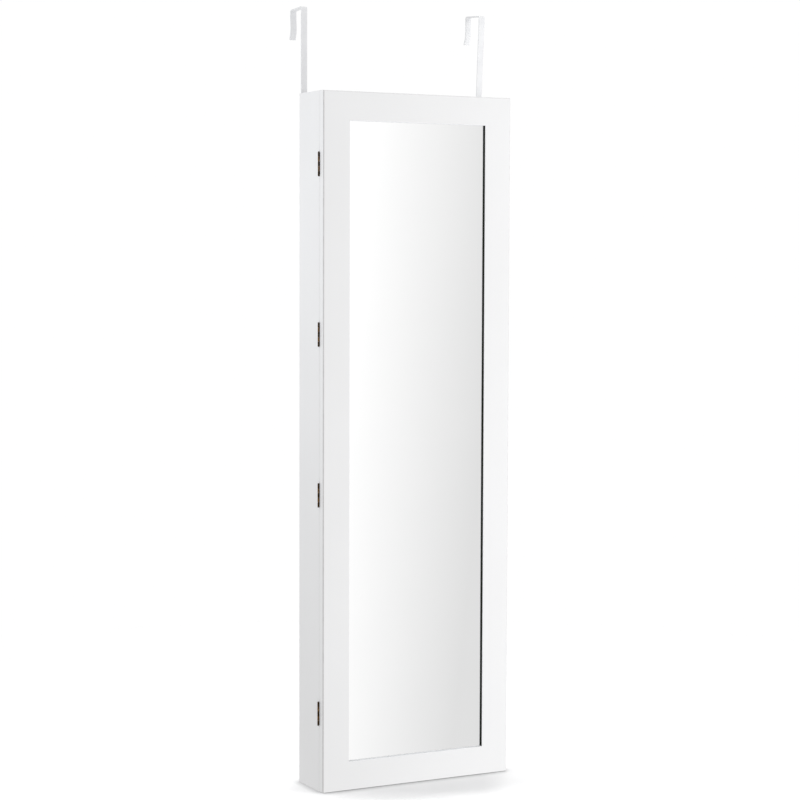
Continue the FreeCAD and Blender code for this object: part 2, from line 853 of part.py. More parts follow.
def nodes():
    yield "left_side_panel", side_panel(-1)
    yield "right_side_panel", side_panel(1)
    yield "bottom_panel", end_panel(0)
    yield "top_panel", end_panel(height - end_thickness)
    yield "back_panel", back_panel()
    yield "corner_dowels", corner_dowels()
    yield "hanging_rail", hanging_rail()
    yield "back_lining", back_lining()
    yield "left_lining", side_lining(-1)
    yield "right_lining", side_lining(1)
    for number, top in enumerate(shelf_tops, 1):
        yield "shelf_%d" % number, shelf(top)
    yield "shelf_pins", shelf_pins()
    for number, level in enumerate(guard_levels, 1):
        yield "guard_rail_%d" % number, guard_rail(level)
    yield "bracelet_rod", bracelet_rod()
    yield "rod_cups", [rod_cup(side) for side in (-1, 1)]
    yield "ring_tray", ring_tray()
    for index in range(roll_count):
        yield "ring_roll_%d" % (index + 1), ring_roll(index)
    yield "necklace_rail", necklace_rail()
    yield "necklace_hooks", [necklace_hook(x) for x in necklace_hook_xs()]
    yield "catch_housings", [catch_housing(level) for level in catch_levels]
    yield "catch_magnets", [catch_magnet(level) for level in catch_levels]
    yield "case_screws", [place(pan_screw(), at, out) for at, out in
                          cup_screw_places(-1) + cup_screw_places(1) + catch_screw_places()]
    yield "bumper_dots", bumper_dots()
    yield "left_door_hook", door_hook(-1)
    yield "right_door_hook", door_hook(1)
    yield "door_hook_screws", door_hook_screws()
    for number, centre in enumerate(hinge_centres, 1):
        yield "hinge_%d_case_leaf" % number, hinge_leaf(centre, 1, 0)
        yield "hinge_%d_door_leaf" % number, hinge_leaf(centre, -1, 1)
        yield "hinge_%d_pin" % number, hinge_pin(centre)
    yield "hinge_case_screws", hinge_screws(1)
    yield "hinge_door_screws", hinge_screws(-1)
    yield "door_frame", door_frame()
    yield "mirror_pane", pane(mirror_front, mirror_back)
    yield "backing_board", backing_board()
    yield "door_lining", door_lining()
    yield "glazing_strips", [glazing_strip(side) for side in (-1, 1)]
    yield "strike_plates", [strike_plate(level) for level in catch_levels]
    yield "backing_clips", [backing_clip(side, z) for side, z in clip_places()]
    yield "earring_bars", [earring_bar(z) for z in bar_levels()]
    yield "door_screws", [place(pan_screw(door_screw_length), at, out)
                          for at, out in clip_screw_places() + bar_screw_places()]


os.makedirs("parts", exist_ok=True)
for name, shape in nodes():
    if isinstance(shape, list):
        shape = Part.makeCompound(shape)
    shape.exportStep("parts/%s.step" % name)
    print(name, len(shape.Solids), "solids", "valid" if shape.isValid() else "NOT VALID")
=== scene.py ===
import math
import random

import bmesh
import bpy
from mathutils import Matrix, Vector


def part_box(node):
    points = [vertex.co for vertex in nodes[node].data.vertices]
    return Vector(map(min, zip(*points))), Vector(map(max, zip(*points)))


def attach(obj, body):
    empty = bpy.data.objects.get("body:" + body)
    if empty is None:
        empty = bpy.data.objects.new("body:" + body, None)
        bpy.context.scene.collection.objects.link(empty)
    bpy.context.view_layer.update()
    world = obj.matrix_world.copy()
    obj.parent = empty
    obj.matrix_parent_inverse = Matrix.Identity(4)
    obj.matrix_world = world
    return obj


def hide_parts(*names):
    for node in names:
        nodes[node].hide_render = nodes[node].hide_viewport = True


# Jewelry mirror cabinet: finishes, padded ring rolls, floor, light and camera.
# Metres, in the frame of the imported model: X right, Y to the back, Z up.

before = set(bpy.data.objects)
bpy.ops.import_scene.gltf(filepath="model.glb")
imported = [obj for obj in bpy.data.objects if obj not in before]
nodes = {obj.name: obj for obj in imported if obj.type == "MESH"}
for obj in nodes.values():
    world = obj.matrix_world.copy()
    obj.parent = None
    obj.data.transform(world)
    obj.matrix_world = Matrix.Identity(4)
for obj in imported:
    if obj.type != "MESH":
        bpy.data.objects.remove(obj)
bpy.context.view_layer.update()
print("frame loaded:", len(nodes), "pieces")

scene = bpy.context.scene


cameraValues = {
    "azimuth": -27.45,        # degrees, where the camera stands round the cabinet
    "elevation": 3.61,
    "roll": 0.19,
    "distance": 3.743,
    "aimRight": -0.0089,      # metres that the aim lies right of the cabinet's middle
    "aimHeight": 0.6693,
    "focalPixels": 2131.0,    # the focal length, in pixels of the picture
    "imageSide": 800,
    "sensor": 36.0,
    "clipEnd": 60,
}


def makeCamera(v):
    az = math.radians(v["azimuth"])
    el = math.radians(v["elevation"])
    roll = math.radians(v["roll"])
    back = Vector((math.sin(az) * math.cos(el), -math.cos(az) * math.cos(el), math.sin(el)))
    levelRight = Vector((math.cos(az), math.sin(az), 0))
    levelUp = back.cross(levelRight)
    right = levelRight * math.cos(roll) + levelUp * math.sin(roll)
    up = levelUp * math.cos(roll) - levelRight * math.sin(roll)
    aim = right * v["aimRight"] + Vector((0, 0, v["aimHeight"]))
    turn = Matrix((right, up, back)).transposed().to_4x4()
    data = bpy.data.cameras.new("camera")
    data.sensor_width = v["sensor"]
    data.lens = v["focalPixels"] * v["sensor"] / v["imageSide"]
    data.clip_end = v["clipEnd"]
    camera = bpy.data.objects.new("camera", data)
    scene.collection.objects.link(camera)
    camera.matrix_world = Matrix.Translation(aim + back * v["distance"]) @ turn
    scene.camera = camera


makeCamera(cameraValues)
print("camera set")


def newMaterial(name):
    material = bpy.data.materials.new(name)
    material.use_nodes = True
    tree = material.node_tree
    shader = tree.nodes["Principled BSDF"]
    return material, tree, shader


def addNode(tree, kind, **values):
    node = tree.nodes.new(kind)
    for key, value in values.items():
        setattr(node, key, value)
    return node


def objectPlace(tree, stretch=(1, 1, 1)):
    # Object coordinates. A small stretch value draws the pattern out along that axis.
    place = addNode(tree, "ShaderNodeTexCoord")
    mapping = addNode(tree, "ShaderNodeMapping")
    mapping.inputs["Scale"].default_value = stretch
    tree.links.new(place.outputs["Object"], mapping.inputs["Vector"])
    return mapping.outputs["Vector"]


def noise(tree, vector, scale, detail=3.0, roughness=0.55):
    node = addNode(tree, "ShaderNodeTexNoise")
    node.inputs["Scale"].default_value = scale
    node.inputs["Detail"].default_value = detail
    node.inputs["Roughness"].default_value = roughness
    tree.links.new(vector, node.inputs["Vector"])
    return node.outputs["Fac"]


def ramp(tree, factor, stops):
    # stops: (position, colour) pairs; a colour may be one grey number.
    node = addNode(tree, "ShaderNodeValToRGB")
    elements = node.color_ramp.elements
    while len(elements) < len(stops):
        elements.new(0.5)
    for element, (position, colour) in zip(elements, stops):
        element.position = position
        tint = (colour, colour, colour) if isinstance(colour, (int, float)) else colour
        element.color = (*tint, 1)
    tree.links.new(factor, node.inputs["Fac"])
    return node.outputs["Color"]


def mapRange(tree, value, low, high, toLow, toHigh):
    node = addNode(tree, "ShaderNodeMapRange")
    for name, number in (("From Min", low), ("From Max", high), ("To Min", toLow), ("To Max", toHigh)):
        node.inputs[name].default_value = number
    tree.links.new(value, node.inputs["Value"])
    return node.outputs["Result"]


def maths(tree, operation, *values):
    node = addNode(tree, "ShaderNodeMath", operation=operation)
    for socket, value in zip(node.inputs, values):
        if isinstance(value, (int, float)):
            socket.default_value = value
        else:
            tree.links.new(value, socket)
    return node.outputs[0]


# A noise node's level mostly stays between these two.
noiseSpread = (0.3, 0.7)


def paint(tree, shader, factor, dark, light, spread=noiseSpread):
    tones = ramp(tree, factor, [(spread[0], dark), (spread[1], light)])
    tree.links.new(tones, shader.inputs["Base Color"])


def roughen(tree, shader, factor, atLow, atHigh):
    tree.links.new(mapRange(tree, factor, *noiseSpread, atLow, atHigh), shader.inputs["Roughness"])


def bump(tree, shader, height, strength, depth):
    node = addNode(tree, "ShaderNodeBump")
    node.inputs["Strength"].default_value = strength
    node.inputs["Distance"].default_value = depth
    tree.links.new(height, node.inputs["Height"])
    tree.links.new(node.outputs["Normal"], shader.inputs["Normal"])


# In the values of the finishes below, scales are per metre and depths in metres.

foilValues = {
    "light": (0.868, 0.868, 0.871),
    "dark": (0.849, 0.849, 0.852),
    "driftScale": 5.0,        # the slow drift between the two tones
    "roughness": (0.34, 0.46),
    "smearScale": 36.0,       # wiped patches, glossier and duller
    "specular": 0.35,
    "peelScale": 620.0,       # the fine orange peel of the foil
    "peelStrength": 0.35,
    "peelDepth": 0.00006,
}


edgeShadeValues = {
    # painted shade along the door's front edges: the axis across, where the turn starts and ends, and how
    # dark the shade gets
    "left": ("x", -0.1800, -0.1808, 0.50),
    "right": ("x", 0.1804, 0.1812, 0.16),
    "top": ("z", 1.1976, 1.1984, 0.18),
    "bottom": ("z", 0.0020, 0.0012, 0.06),
    "front": (-0.0466, -0.0472),
    # the colour of the painted edge shade, and how patchy its strength is
    "colour": (0.30, 0.29, 0.285),
    "patchScale": 90.0,
    "patches": (0.85, 1.1),
}


def paintedEdgeShade(tree, place, v=edgeShadeValues):
    # Painted shade: a dark line where the foil turns the door's front corners, darkest on the hinge side.
    split = addNode(tree, "ShaderNodeSeparateXYZ")
    tree.links.new(place, split.inputs[0])
    along = dict(zip("xyz", split.outputs))
    total = None
    for corner in ("left", "right", "top", "bottom"):
        axis, start, end, depth = v[corner]
        part = mapRange(tree, along[axis], start, end, 0, depth)
        total = part if total is None else maths(tree, "MAXIMUM", total, part)
    front = mapRange(tree, along["y"], *v["front"], 0, 1)
    patchy = mapRange(tree, noise(tree, place, v["patchScale"], detail=4.0), *noiseSpread, *v["patches"])
    return maths(tree, "MULTIPLY", maths(tree, "MULTIPLY", total, front), patchy)


revealValues = {
    # painted light on the inner faces of the mirror opening, a brighter and cooler white than the foil that
    # lifts the shade in the recess:
    # the soft limits of the space that holds them
    "halfWidth": (0.1323, 0.1327),
    "low": (0.0493, 0.0497),
    "high": (1.1503, 1.1507),
    "colour": (0.965, 0.975, 0.99),
}


def revealMask(tree, place, v=revealValues):
    split = addNode(tree, "ShaderNodeSeparateXYZ")
    tree.links.new(place, split.inputs[0])
    x, y, z = split.outputs
    within = mapRange(tree, maths(tree, "ABSOLUTE", x), *v["halfWidth"], 1, 0)
    above = mapRange(tree, z, *v["low"], 0, 1)
    below = mapRange(tree, z, *v["high"], 1, 0)
    return maths(tree, "MULTIPLY", within, maths(tree, "MULTIPLY", above, below))


def mixedColour(tree, factor, colour, other):
    mix = addNode(tree, "ShaderNodeMix", data_type="RGBA")
    tree.links.new(factor, mix.inputs["Factor"])
    tree.links.new(colour, mix.inputs["A"])
    mix.inputs["B"].default_value = (*other, 1)
    return mix.outputs["Result"]


def whiteFoil(name, v=foilValues, corners=False):
    material, tree, shader = newMaterial(name)
    place = objectPlace(tree)
    drift = noise(tree, place, v["driftScale"], detail=2.0)
    colour = ramp(tree, drift, list(zip(noiseSpread, (v["dark"], v["light"]))))
    if corners:
        # painted shade along the door's front edges
        colour = mixedColour(tree, paintedEdgeShade(tree, place), colour, edgeShadeValues["colour"])
        # painted light: a brighter, cooler white in the recess round the mirror, lifting its shade
        colour = mixedColour(tree, revealMask(tree, place), colour, revealValues["colour"])
    tree.links.new(colour, shader.inputs["Base Color"])
    smear = noise(tree, place, v["smearScale"], detail=5.0, roughness=0.62)
    roughen(tree, shader, smear, *v["roughness"])
    shader.inputs["Specular IOR Level"].default_value = v["specular"]
    peel = noise(tree, place, v["peelScale"], detail=2.0, roughness=0.5)
    bump(tree, shader, peel, v["peelStrength"], v["peelDepth"])
    return material


enamelValues = {
    # white powder coat over flat steel
    "light": (0.82, 0.825, 0.835),
    "dark": (0.76, 0.765, 0.78),
    "driftScale": 40.0,
    "roughness": (0.28, 0.4),
    "peelScale": 900.0,
    "peelStrength": 0.2,
    "peelDepth": 0.00003,
}


def enamel(name, v=enamelValues):
    material, tree, shader = newMaterial(name)
    place = objectPlace(tree)
    drift = noise(tree, place, v["driftScale"])
    paint(tree, shader, drift, v["dark"], v["light"])
    roughen(tree, shader, drift, *v["roughness"])
    peel = noise(tree, place, v["peelScale"], detail=2.0)
    bump(tree, shader, peel, v["peelStrength"], v["peelDepth"])
    return material


hardboardValues = {
    "light": (0.83, 0.828, 0.815),
    "dark": (0.74, 0.735, 0.715),
    "fibreStretch": (1, 1, 0.35),
    "fibreScale": 260.0,
    "fibreSpread": (0.35, 0.6),
    "roughness": (0.55, 0.75),
    "patchScale": 30.0,
    "fibreStrength": 0.5,
    "fibreDepth": 0.00015,
}


def hardboard(name, v=hardboardValues):
    material, tree, shader = newMaterial(name)
    fibre = noise(tree, objectPlace(tree, v["fibreStretch"]), v["fibreScale"], detail=6.0, roughness=0.7)
    patches = noise(tree, objectPlace(tree), v["patchScale"])
    paint(tree, shader, fibre, v["dark"], v["light"], v["fibreSpread"])
    roughen(tree, shader, patches, *v["roughness"])
    bump(tree, shader, fibre, v["fibreStrength"], v["fibreDepth"])
    return material


velvetValues = {
    # short black pile: a dark base, a bright sheen, and patches where it was brushed
    "light": (0.026, 0.026, 0.029),
    "dark": (0.008, 0.008, 0.009),
    "toneSpread": (0.45, 0.95),
    "brushScale": 14.0,
    "rollStretch": (0.3, 1, 1),   # on the ring rolls the brushed patches run along the roll
    "pileScale": 1800.0,
    "pileShare": 0.5,
    "pileStrength": 0.8,
    "pileDepth": 0.0003,
    "roughness": 0.95,
    "specular": 0.1,
    "sheen": 0.7,
    "sheenRoughness": 0.4,
    "sheenTint": (0.5, 0.5, 0.55),
}


def velvet(name, stretch=(1, 1, 1), v=velvetValues):
    material, tree, shader = newMaterial(name)
    brushed = noise(tree, objectPlace(tree, stretch), v["brushScale"], detail=4.0, roughness=0.6)
    pile = noise(tree, objectPlace(tree), v["pileScale"], detail=2.0, roughness=0.8)
    mixed = maths(tree, "MULTIPLY_ADD", pile, v["pileShare"], brushed)
    paint(tree, shader, mixed, v["dark"], v["light"], v["toneSpread"])
    shader.inputs["Roughness"].default_value = v["roughness"]
    shader.inputs["Specular IOR Level"].default_value = v["specular"]
    shader.inputs["Sheen Weight"].default_value = v["sheen"]
    shader.inputs["Sheen Roughness"].default_value = v["sheenRoughness"]
    shader.inputs["Sheen Tint"].default_value = (*v["sheenTint"], 1)
    bump(tree, shader, pile, v["pileStrength"], v["pileDepth"])
    return material


steelValues = {
    "light": (0.82, 0.83, 0.85),
    "dark": (0.70, 0.71, 0.73),
    "streakStretch": (1, 30, 30),
    "streakScale": 22.0,
    "streakStrength": 0.15,
    "streakDepth": 0.00003,
    "roughness": (0.10, 0.22),
}


def polishedSteel(name, v=steelValues):
    material, tree, shader = newMaterial(name)
    streaks = noise(tree, objectPlace(tree, v["streakStretch"]), v["streakScale"], detail=4.0, roughness=0.6)
    paint(tree, shader, streaks, v["dark"], v["light"])
    roughen(tree, shader, streaks, *v["roughness"])
    shader.inputs["Metallic"].default_value = 1.0
    bump(tree, shader, streaks, v["streakStrength"], v["streakDepth"])
    return material


zincValues = {
    "light": (0.74, 0.75, 0.76),
    "dark": (0.52, 0.53, 0.55),
    "spangleScale": 700.0,
    "spangleStrength": 0.25,
    "spangleDepth": 0.00005,
    "roughness": (0.26, 0.46),
}


def zincPlate(name, v=zincValues):
    material, tree, shader = newMaterial(name)
    spangle = noise(tree, objectPlace(tree), v["spangleScale"], detail=4.0, roughness=0.65)
    paint(tree, shader, spangle, v["dark"], v["light"])
    roughen(tree, shader, spangle, *v["roughness"])
    shader.inputs["Metallic"].default_value = 1.0
    bump(tree, shader, spangle, v["spangleStrength"], v["spangleDepth"])
    return material


bronzeValues = {
    # dark plate, brown plate, rubbed metal, and the noise level above which it is rubbed through
    "case": ((0.016, 0.008, 0.003), (0.045, 0.023, 0.009), (0.20, 0.12, 0.045), 0.70),
    # the door row is a lighter copy of the case row: real rubbed wear plus a painted highlight, so the
    # knuckles alternate
    "door": ((0.030, 0.015, 0.006), (0.120, 0.064, 0.028), (0.26, 0.15, 0.062), 0.62),
    "screw": ((0.060, 0.032, 0.014), (0.160, 0.092, 0.042), (0.30, 0.19, 0.085), 0.55),
    "plateLevel": 0.30,
    "brownBelow": (0.18, 0.10),   # how far below the rubbed level the brown plate starts and ends
    "roughness": (0.55, 0.32),
    "grimeScale": 320.0,
    "grimeStrength": 0.4,
    "grimeDepth": 0.00012,
}


def antiqueBronze(name, toneSet, v=bronzeValues):
    # Dark plate, rubbed through to warm metal in small patches.
    plate, brown, rubbed, level = v[toneSet]
    material, tree, shader = newMaterial(name)
    grime = noise(tree, objectPlace(tree), v["grimeScale"], detail=5.0, roughness=0.7)
    browns = [(level - below, brown) for below in v["brownBelow"]]
    colour = ramp(tree, grime, [(v["plateLevel"], plate), *browns, (level, rubbed)])
    tree.links.new(colour, shader.inputs["Base Color"])
    roughen(tree, shader, grime, *v["roughness"])
    shader.inputs["Metallic"].default_value = 1.0
    bump(tree, shader, grime, v["grimeStrength"], v["grimeDepth"])
    return material


mirrorValues = {
    "light": (0.938, 0.938, 0.938),
    "dark": (0.928, 0.929, 0.929),
    "hazeScale": 9.0,
    "roughness": (0.0, 0.012),
}


def mirrorSilver(name, v=mirrorValues):
    material, tree, shader = newMaterial(name)
    haze = noise(tree, objectPlace(tree), v["hazeScale"], detail=4.0, roughness=0.6)
    paint(tree, shader, haze, v["dark"], v["light"])
    roughen(tree, shader, haze, *v["roughness"])
    shader.inputs["Metallic"].default_value = 1.0
    return material


grainValues = {
    # light tone, dark tone, middle roughness, grain scale, grain depth and specular level
    "catchPlastic": ((0.82, 0.82, 0.815), (0.78, 0.78, 0.775), 0.45, 900.0, 0.00005, 0.5),
    "ferrite": ((0.055, 0.053, 0.052), (0.025, 0.025, 0.026), 0.6, 1500.0, 0.00005, 0.5),
    "clearRubber": ((0.62, 0.63, 0.64), (0.54, 0.55, 0.56), 0.3, 400.0, 0.00005, 0.5),
    "blackStrip": ((0.020, 0.023, 0.019), (0.010, 0.012, 0.010), 0.85, 900.0, 0.00005, 0.12),
    "blackEnamel": ((0.022, 0.022, 0.024), (0.014, 0.014, 0.015), 0.38, 700.0, 0.00005, 0.5),
    "blackBoard": ((0.024, 0.024, 0.026), (0.014, 0.014, 0.016), 0.55, 300.0, 0.0001, 0.5),
    "roughnessSwing": 0.07,
    "strength": 0.4,
}


def fineGrain(name, v=grainValues):
    # A plain finish with a fine even grain.
    light, dark, roughness, scale, depth, specular = v[name]
    material, tree, shader = newMaterial(name)
    shader.inputs["Specular IOR Level"].default_value = specular
    grain = noise(tree, objectPlace(tree), scale, roughness=0.6)
    paint(tree, shader, grain, dark, light)
    roughen(tree, shader, grain, roughness - v["roughnessSwing"], roughness + v["roughnessSwing"])
    bump(tree, shader, grain, v["strength"], depth)
    return material


beechValues = {
    "light": (0.66, 0.48, 0.30),
    "dark": (0.42, 0.27, 0.15),
    "toneSpread": (0.35, 0.65),
    "grainStretch": (0.08, 1, 1),
    "grainScale": 800.0,
    "grainStrength": 0.4,
    "grainDepth": 0.0001,
    "roughness": 0.7,
}


def beechWood(name, v=beechValues):
    material, tree, shader = newMaterial(name)
    grain = noise(tree, objectPlace(tree, v["grainStretch"]), v["grainScale"], detail=5.0, roughness=0.6)
    paint(tree, shader, grain, v["dark"], v["light"], v["toneSpread"])
    shader.inputs["Roughness"].default_value = v["roughness"]
    bump(tree, shader, grain, v["grainStrength"], v["grainDepth"])
    return material


finishes = {
    "caseFoil": whiteFoil("caseFoil"),
    "doorFoil": whiteFoil("doorFoil", corners=True),
    "shelfFoil": whiteFoil("shelfFoil"),
    "hardboard": hardboard("hardboard"),
    "velvetLining": velvet("velvetLining"),
    "velvetRoll": velvet("velvetRoll", velvetValues["rollStretch"]),
    "steel": polishedSteel("polishedSteel"),
    "zinc": zincPlate("zincPlate"),
    "bronze": antiqueBronze("antiqueBronze", "case"),
    "wornAndHighlitBronze": antiqueBronze("wornAndHighlitBronze", "door"),
    "screwBronze": antiqueBronze("screwBronze", "screw"),
    "enamel": enamel("hookEnamel"),
    "mirror": mirrorSilver("mirrorSilver"),
    "whitePlastic": fineGrain("catchPlastic"),
    "ferrite": fineGrain("ferrite"),
    "rubber": fineGrain("clearRubber"),
    "blackStrip": fineGrain("blackStrip"),
    "blackEnamel": fineGrain("blackEnamel"),
    "blackBoard": fineGrain("blackBoard"),
    "beech": beechWood("beech"),
}

hingeNumbers = (1, 2, 3, 4)

wornBy = {
    "caseFoil": ["left_side_panel", "right_side_panel", "top_panel", "bottom_panel"],
    "doorFoil": ["door_frame"],
    "shelfFoil": ["shelf_1", "shelf_2", "shelf_3", "hanging_rail"],
    "hardboard": ["back_panel", "backing_board"],
    "velvetLining": ["back_lining", "left_lining", "right_lining", "door_lining"],
    "steel": ["guard_rail_1", "guard_rail_2", "guard_rail_3", "guard_rail_4",
              "bracelet_rod", "rod_cups", "necklace_hooks"],
    "zinc": ["shelf_pins", "case_screws", "door_screws", "door_hook_screws", "strike_plates"],
    "bronze": ["hinge_%d_%s" % (i, piece) for i in hingeNumbers for piece in ("case_leaf", "pin")],
    # the door leaves' lighter bronze is partly a painted highlight on their knuckles
    "wornAndHighlitBronze": ["hinge_%d_door_leaf" % i for i in hingeNumbers],
    "screwBronze": ["hinge_case_screws", "hinge_door_screws"],
    "enamel": ["left_door_hook", "right_door_hook"],
    "mirror": ["mirror_pane"],
    "whitePlastic": ["catch_housings"],
    "ferrite": ["catch_magnets"],
    "rubber": ["bumper_dots"],
    "blackStrip": ["glazing_strips"],
    "blackEnamel": ["earring_bars", "backing_clips"],
    "blackBoard": ["ring_tray", "necklace_rail"],
    "beech": ["corner_dowels"],
}

for finish, names in wornBy.items():
    for nodeName in names:
        for slot in nodes[nodeName].material_slots:
            slot.material = finishes[finish]
print("finishes on", sum(len(names) for names in wornBy.values()), "pieces")


rollValues = {
    "count": 6,
    "rings": 90,
    "segments": 40,
    "squeeze": 0.06,          # how flat the neighbours press a roll, as a share of its radius
    "squeezeFocus": 3,        # a higher power keeps that to a narrower band
    "endRound": 0.55,         # length of the rounded ends, as a share of the radius
    "endNarrow": 0.72,        # the ends' radius, as a share of the roll's
    "capRings": (0.3, 0.35),  # widths of the rings in the end caps, as shares of the radius
    "capEdge": 0.98,          # a point nearer to the axis than this share is in an end cap
    "capSink": 0.0016,
    "gather": 0.0006,         # depth of the puckers at the sewn ends
    "gatherCount": 9,
    "ripple": 0.0003,
    "longRate": 95,           # radians per metre of the long and the short ripples
    "shortRate": 230,
    "shortShare": 0.5,        # the short ripples' height, as a share of the long ones'
    "seed": 7,
}


def rollTube(radius, half, v):
    # A closed tube along X, with rings for the ripples and rings in its end caps.
    shape = bmesh.new()
    bmesh.ops.create_circle(shape, cap_ends=False, segments=v["segments"], radius=radius)
    bmesh.ops.rotate(shape, verts=shape.verts, matrix=Matrix.Rotation(math.pi / 2, 3, "Y"))
    bmesh.ops.translate(shape, verts=shape.verts, vec=(-half, 0, 0))
    edges = list(shape.edges)
    for _ in range(v["rings"]):
        made = bmesh.ops.extrude_edge_only(shape, edges=edges)["geom"]
        verts = [part for part in made if isinstance(part, bmesh.types.BMVert)]
        edges = [part for part in made if isinstance(part, bmesh.types.BMEdge)
                 and len(part.link_faces) == 1 and all(vert in made for vert in part.verts)]
        bmesh.ops.translate(shape, verts=verts, vec=(2 * half / v["rings"], 0, 0))
    rims = [edge for edge in shape.edges if len(edge.link_faces) == 1]
    bmesh.ops.holes_fill(shape, edges=rims, sides=0)
    for cap in [face for face in shape.faces if len(face.verts) > 4]:
        for width in v["capRings"]:
            bmesh.ops.inset_individual(shape, faces=[cap], thickness=radius * width)
    return shape


def gatherRoll(shape, radius, half, phases, v):
    # Rounds and puckers the sewn ends, and ripples the velvet between them.
    endRound = radius * v["endRound"]
    for vert in shape.verts:
        x = vert.co.x
        away = math.hypot(vert.co.y, vert.co.z)
        angle = math.atan2(vert.co.z, vert.co.y)
        share = min(1.0, (half - abs(x)) / endRound)
        crown = math.sqrt(max(0.0, 1 - (1 - share) ** 2))
        narrow = v["endNarrow"] + (1 - v["endNarrow"]) * crown
        if away < radius * v["capEdge"]:
            # the gathered end cap sinks towards its middle stitch
            vert.co.x -= math.copysign(v["capSink"] * (1 - away / radius), x)
            narrow = v["endNarrow"]
        pucker = v["gather"] * (1 - share) * math.sin(v["gatherCount"] * angle + phases[0])
        ripple = math.sin(x * v["longRate"] + phases[1]) * math.sin(2 * angle + phases[2])
        ripple += v["shortShare"] * math.sin(x * v["shortRate"] + phases[3] + 3 * angle)
        # the ripples only go inwards, so that the roll stays within its own box
        inward = v["ripple"] * (ripple - 1 - v["shortShare"]) * crown
        scale = narrow + (pucker + inward) / radius
        vert.co.y *= scale
        vert.co.z *= scale * (1 - v["squeeze"] * crown * abs(math.sin(angle)) ** v["squeezeFocus"])


def makeRoll(number, v=rollValues):
    nodeName = "ring_roll_%d" % number
    low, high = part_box(nodeName)
    radius = (high.z - low.z) / 2
    half = (high.x - low.x) / 2
    chance = random.Random(v["seed"] + number)
    phases = [chance.uniform(0, math.tau) for _ in range(4)]
    shape = rollTube(radius, half, v)
    gatherRoll(shape, radius, half, phases, v)
    bmesh.ops.translate(shape, verts=shape.verts, vec=(low + high) / 2)
    bmesh.ops.recalc_face_normals(shape, faces=shape.faces)
    mesh = bpy.data.meshes.new("roll_%d" % number)
    shape.to_mesh(mesh)
    shape.free()
    mesh.materials.append(finishes["velvetRoll"])
    for polygon in mesh.polygons:
        polygon.use_smooth = True
    roll = bpy.data.objects.new("velvet_roll_%d" % number, mesh)
    scene.collection.objects.link(roll)
    softer = roll.modifiers.new("softer", "SUBSURF")
    softer.levels = 1
    softer.render_levels = 1
    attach(roll, "cabinet")
    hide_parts(nodeName)


for number in range(1, rollValues["count"] + 1):
    makeRoll(number)
print("ring rolls made")


floorValues = {
    "radius": 2.6,
    "sides": 96,
    "colour": (0.955, 0.955, 0.957),
    "glow": 0.11,             # painted light: floor glow beyond the cabinet's two ends and in front, which lifts its cast shadow there
    # the way each glow runs, and where it starts and is full along it
    "glowBands": [
        ((0.887, -0.461, 0), -0.11, -0.24),
        ((0.887, -0.461, 0), 0.140, 0.188),
        ((-0.461, -0.887, 0), 0.103, 0.166),
    ],
    "contact": 0.018,         # metres from the cabinet that its soft contact shadow reaches
    "contactDepth": 0.75,
    "contactSamples": 16,
    "fadeFrom": 0.6,          # metres from the cabinet where the floor starts to melt into the backdrop
    "fadeTo": 1.7,
}


def glowBand(tree, place, way, start, full, glow):
    along = addNode(tree, "ShaderNodeVectorMath", operation="DOT_PRODUCT")
    tree.links.new(place, along.inputs[0])
    along.inputs[1].default_value = way
    return mapRange(tree, along.outputs["Value"], start, full, 0, glow)


def paleFloor(name, v):
    material, tree, shader = newMaterial(name)
    shader.inputs["Roughness"].default_value = 1.0
    shader.inputs["Specular IOR Level"].default_value = 0.0
    shader.inputs["Emission Color"].default_value = (1, 1, 1, 1)
    place = addNode(tree, "ShaderNodeTexCoord").outputs["Object"]
    # painted light: glow in bands that lifts the cabinet's cast shadow on the floor
    left, right, front = [glowBand(tree, place, *band, v["glow"]) for band in v["glowBands"]]
    glow = maths(tree, "ADD", maths(tree, "ADD", left, right), front)
    tree.links.new(glow, shader.inputs["Emission Strength"])
    contact = addNode(tree, "ShaderNodeAmbientOcclusion", samples=v["contactSamples"])
    contact.inputs["Distance"].default_value = v["contact"]
    depth = maths(tree, "POWER", contact.outputs["AO"], v["contactDepth"])
    tint = addNode(tree, "ShaderNodeMix", data_type="RGBA")
    tree.links.new(depth, tint.inputs["Factor"])
    tint.inputs["A"].default_value = (0, 0, 0, 1)
    tint.inputs["B"].default_value = (*v["colour"], 1)
    tree.links.new(tint.outputs["Result"], shader.inputs["Base Color"])
    length = addNode(tree, "ShaderNodeVectorMath", operation="LENGTH")
    tree.links.new(place, length.inputs[0])
    fade = mapRange(tree, length.outputs["Value"], v["fadeFrom"], v["fadeTo"], 1, 0)
    tree.links.new(fade, shader.inputs["Alpha"])
    return material


def makeFloor(v):
    shape = bmesh.new()
    bmesh.ops.create_circle(shape, cap_ends=True, segments=v["sides"], radius=v["radius"])
    mesh = bpy.data.meshes.new("floor")
    shape.to_mesh(mesh)
    shape.free()
    mesh.materials.append(paleFloor("paleFloor", v))
    floor = bpy.data.objects.new("floor", mesh)
    scene.collection.objects.link(floor)
    floor.visible_glossy = False
    floor.visible_diffuse = False
    floor.visible_shadow = False


